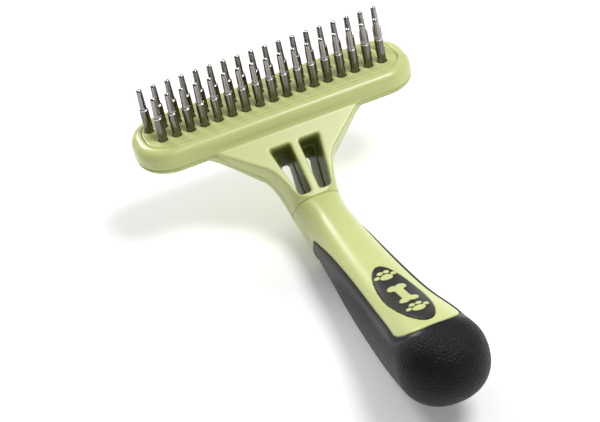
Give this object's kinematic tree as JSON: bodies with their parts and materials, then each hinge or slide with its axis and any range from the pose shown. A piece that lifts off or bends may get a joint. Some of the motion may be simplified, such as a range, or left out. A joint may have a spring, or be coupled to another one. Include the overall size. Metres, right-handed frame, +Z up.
{
  "type": "undercoat rake",
  "caption": "Grooming rake with two staggered rows of stepped steel pins across a wide head, a flared windowed neck and a curved handle with a rubber grip.",
  "frame": {"origin": "centre of the object's footprint, on the surface it lies on", "axes": "+Y from the handle to the head, +Z up along the pins, +X along the head to the right"},
  "size_m": [0.1096, 0.1786, 0.0629],
  "materials": {
    "green_plastic": "satin moulded plastic, pale olive green",
    "green_cover": "satin moulded plastic, a little darker green",
    "pin_steel": "turned and tumbled stainless steel, dark and reflective",
    "screw_steel": "zinc-plated steel",
    "grip_rubber": "soft black rubber with a fine stipple",
    "badge_black": "smooth black inlay"
  },
  "bodies": {
    "root": {"upper_shell": "green_plastic", "lower_shell": "green_cover", "pin_plate": "green_plastic", "pin_retainer": "green_cover", "cover_screws": "screw_steel", "handle_core": "green_plastic", "grip": "grip_rubber", "badge": "badge_black", "badge_motif": "green_plastic", "front_pin_01": "pin_steel", "front_pin_02": "pin_steel", "front_pin_03": "pin_steel", "front_pin_04": "pin_steel", "front_pin_05": "pin_steel", "front_pin_06": "pin_steel", "front_pin_07": "pin_steel", "front_pin_08": "pin_steel", "front_pin_09": "pin_steel", "front_pin_10": "pin_steel", "front_pin_11": "pin_steel", "front_pin_12": "pin_steel", "front_pin_13": "pin_steel", "front_pin_14": "pin_steel", "front_pin_15": "pin_steel", "front_pin_16": "pin_steel", "front_pin_17": "pin_steel", "back_pin_01": "pin_steel", "back_pin_02": "pin_steel", "back_pin_03": "pin_steel", "back_pin_04": "pin_steel", "back_pin_05": "pin_steel", "back_pin_06": "pin_steel", "back_pin_07": "pin_steel", "back_pin_08": "pin_steel", "back_pin_09": "pin_steel", "back_pin_10": "pin_steel", "back_pin_11": "pin_steel", "back_pin_12": "pin_steel", "back_pin_13": "pin_steel", "back_pin_14": "pin_steel", "back_pin_15": "pin_steel", "back_pin_16": "pin_steel", "back_pin_17": "pin_steel", "back_pin_18": "pin_steel"}
  },
  "joints": []
}
